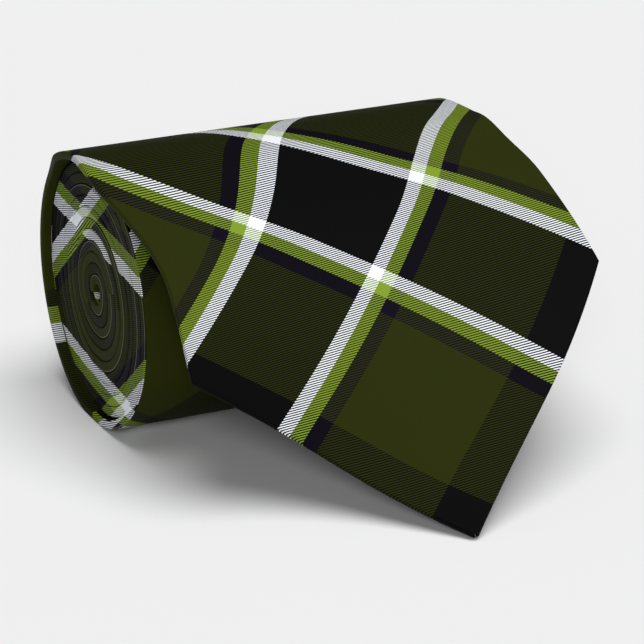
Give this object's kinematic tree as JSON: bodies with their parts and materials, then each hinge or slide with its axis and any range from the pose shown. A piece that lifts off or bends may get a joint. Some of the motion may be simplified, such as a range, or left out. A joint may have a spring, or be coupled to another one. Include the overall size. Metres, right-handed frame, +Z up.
{
  "type": "necktie",
  "caption": "Tartan necktie rolled up from its tail, with the blade's pointed end lying free; built as shell, interlining, tipping and sewing.",
  "frame": {"origin": "on the table, under the middle of the whole rolled tie", "axes": "+X along the roll's axis, from the end where the tie's edges lie flush; -Y towards the free tip; +Z up"},
  "size_m": [0.1088, 0.1298, 0.0663],
  "materials": {
    "shell_cloth": "tartan twill in olive, black, lime green, white and dark purple, with a soft silk sheen",
    "interlining": "brushed natural wool felt",
    "tipping": "black acetate satin lining",
    "thread": "dark olive sewing thread",
    "tack_thread": "lime green twisted thread",
    "label": "plain black woven satin label with nothing on it",
    "care_tag": "plain white satin tape with nothing on it"
  },
  "bodies": {
    "roll": {"blade_shell_rolled": "shell_cloth", "neck_shell": "shell_cloth", "tail_shell": "shell_cloth", "blade_interlining_rolled": "interlining", "tail_interlining": "interlining", "interlining_join": "thread", "tail_tipping": "tipping", "tail_tipping_stitches": "thread", "tail_bar_tack": "tack_thread", "slip_stitch_rolled": "thread", "blade_neck_seam": "thread", "neck_tail_seam": "thread", "keeper_loop": "shell_cloth", "keeper_tacks": "tack_thread", "blank_label": "label", "label_stitches": "thread", "care_tag": "care_tag"},
    "free_blade": {"blade_shell_free": "shell_cloth", "blade_interlining_free": "interlining", "blade_tipping": "tipping", "blade_tipping_stitches": "thread", "blade_bar_tack": "tack_thread", "slip_stitch_free": "thread"}
  },
  "joints": [
    {"name": "blade_lift", "type": "hinge", "parent": "roll", "child": "free_blade", "pos_m": [-0.00436, 0.03173, 0.06628], "axis": [-1, 0, 0], "range_deg": [0, 75]}
  ]
}
